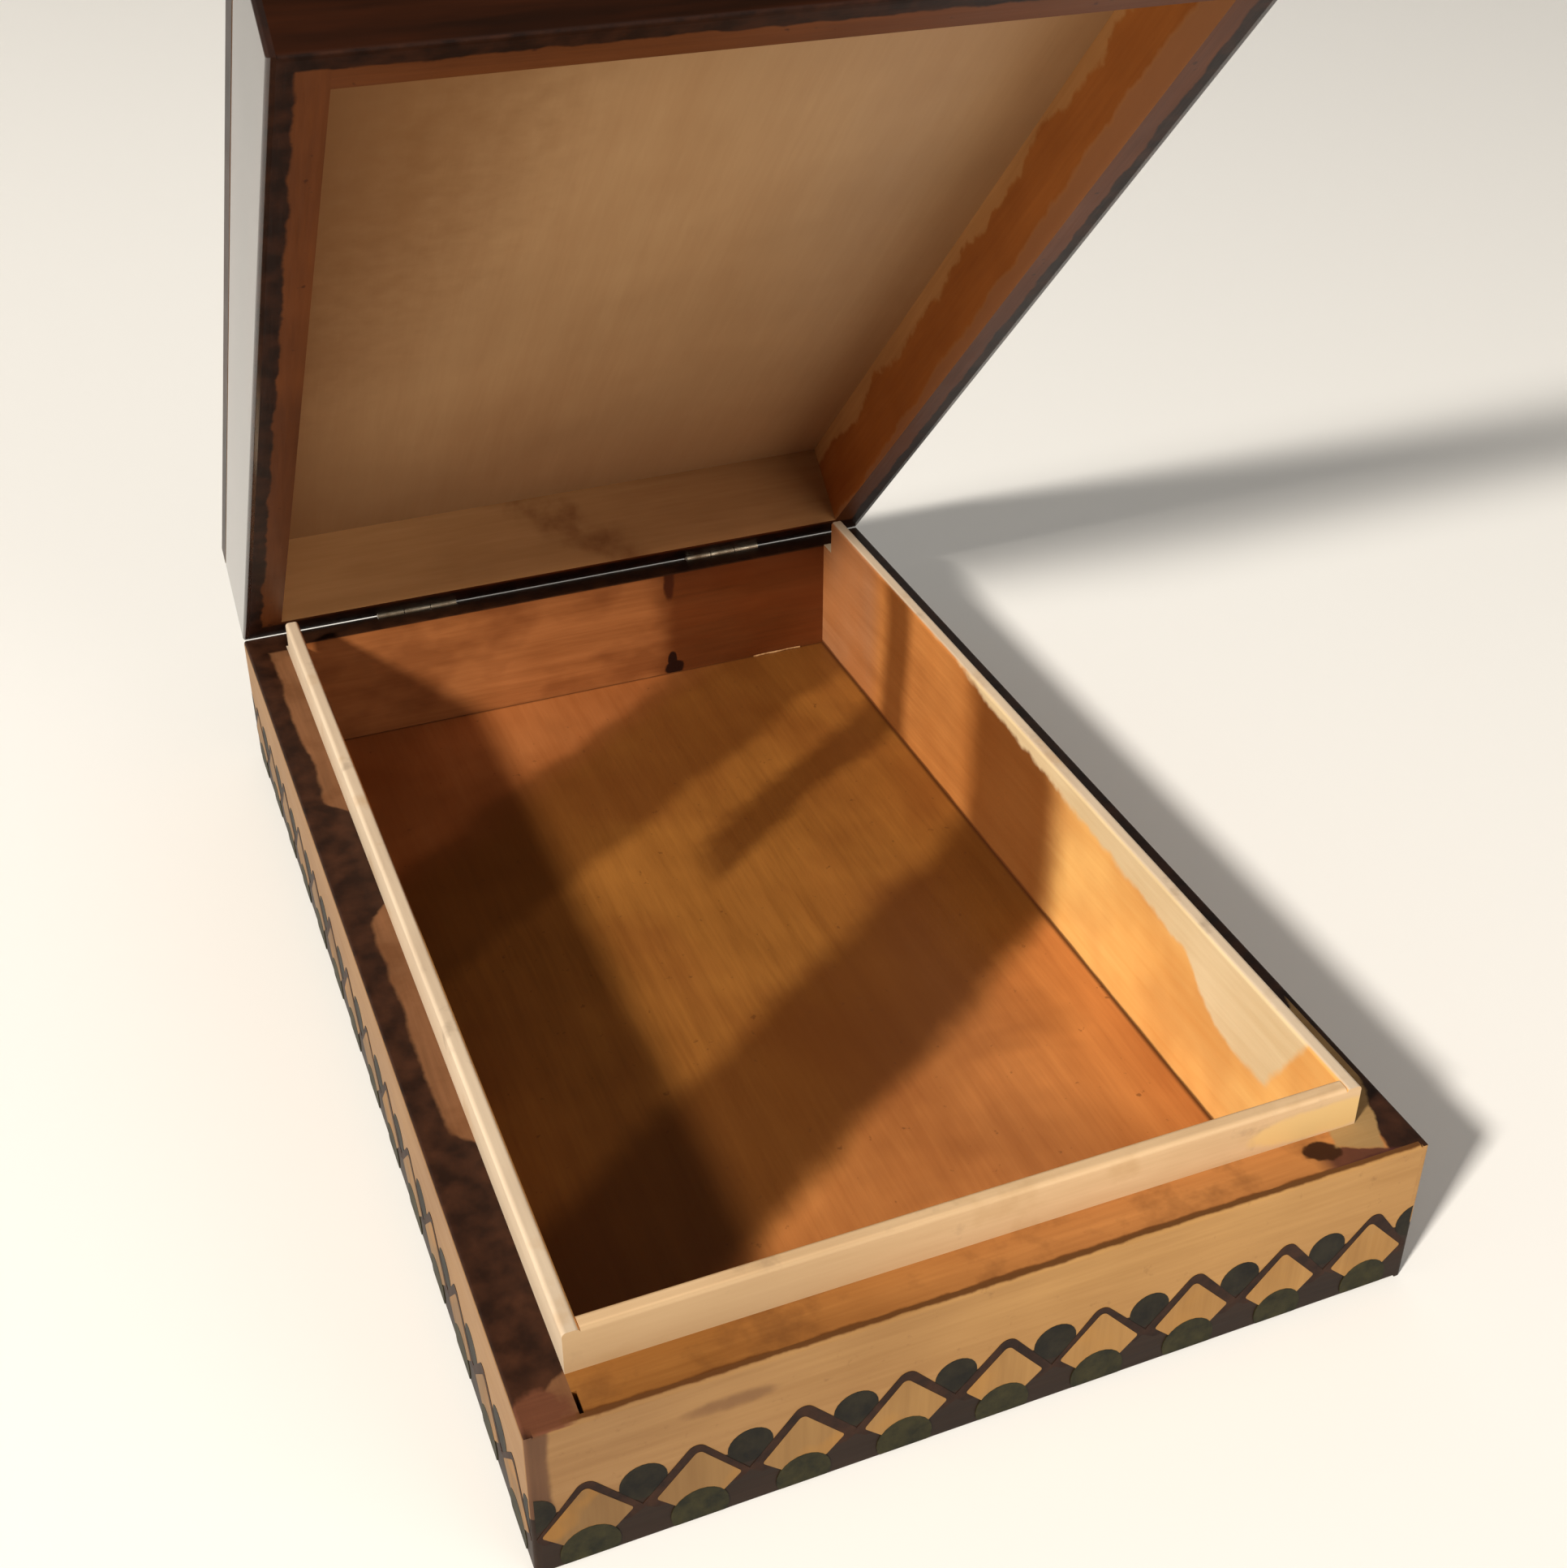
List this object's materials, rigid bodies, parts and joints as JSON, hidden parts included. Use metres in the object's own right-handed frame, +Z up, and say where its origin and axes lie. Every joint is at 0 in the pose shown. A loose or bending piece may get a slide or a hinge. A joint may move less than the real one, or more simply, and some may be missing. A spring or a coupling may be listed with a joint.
{
  "type": "hinged keepsake box",
  "caption": "Low rectangular wooden keepsake box with a hinged lid, a raised inner lip and a painted geometric border, shown with the lid part open.",
  "frame": {"origin": "centre of the base's underside, on the surface that the box stands on", "axes": "+Z up, -Y towards the front of the box, +X to the right seen from the front, hinges at the back (+Y)"},
  "size_m": [0.12, 0.1965, 0.1708],
  "materials": {
    "facing_wood": "pale wood with a painted and burnt border, satin varnish",
    "core_wood": "orange-brown stained wood, dark stain along the outer edge of the rim",
    "floor_wood": "orange-brown stained wood",
    "liner_wood": "pale bare wood, stained on the inside",
    "lid_panel_wood": "dark stained outside, bare tan underside",
    "lid_core_wood": "brown stained wood",
    "lid_facing_wood": "very dark brown stained wood, satin varnish",
    "hinge_metal": "dull plated steel",
    "nails": "dull plated steel"
  },
  "bodies": {
    "base": {"base_floor": "floor_wood", "base_front_wall": "core_wood", "base_left_wall": "core_wood", "base_right_wall": "core_wood", "base_back_wall": "core_wood", "base_front_facing": "facing_wood", "base_left_facing": "facing_wood", "base_right_facing": "facing_wood", "liner_front": "liner_wood", "liner_left": "liner_wood", "liner_right": "liner_wood", "left_hinge_base_leaf": "hinge_metal", "right_hinge_base_leaf": "hinge_metal", "left_hinge_pin": "hinge_metal", "right_hinge_pin": "hinge_metal", "base_hinge_nails": "nails"},
    "lid": {"lid_top_panel": "lid_panel_wood", "lid_front_wall": "lid_core_wood", "lid_left_wall": "lid_core_wood", "lid_right_wall": "lid_core_wood", "lid_back_wall": "lid_core_wood", "lid_front_facing": "lid_facing_wood", "lid_left_facing": "lid_facing_wood", "lid_right_facing": "lid_facing_wood", "lid_left_hinge_leaf": "hinge_metal", "lid_right_hinge_leaf": "hinge_metal", "lid_hinge_nails": "nails"}
  },
  "joints": [
    {"name": "lid_hinge", "type": "hinge", "parent": "base", "child": "lid", "pos_m": [0, 0.0916, 0.02405], "axis": [-1, 0, 0], "range_deg": [-47.2, 112.8]}
  ]
}
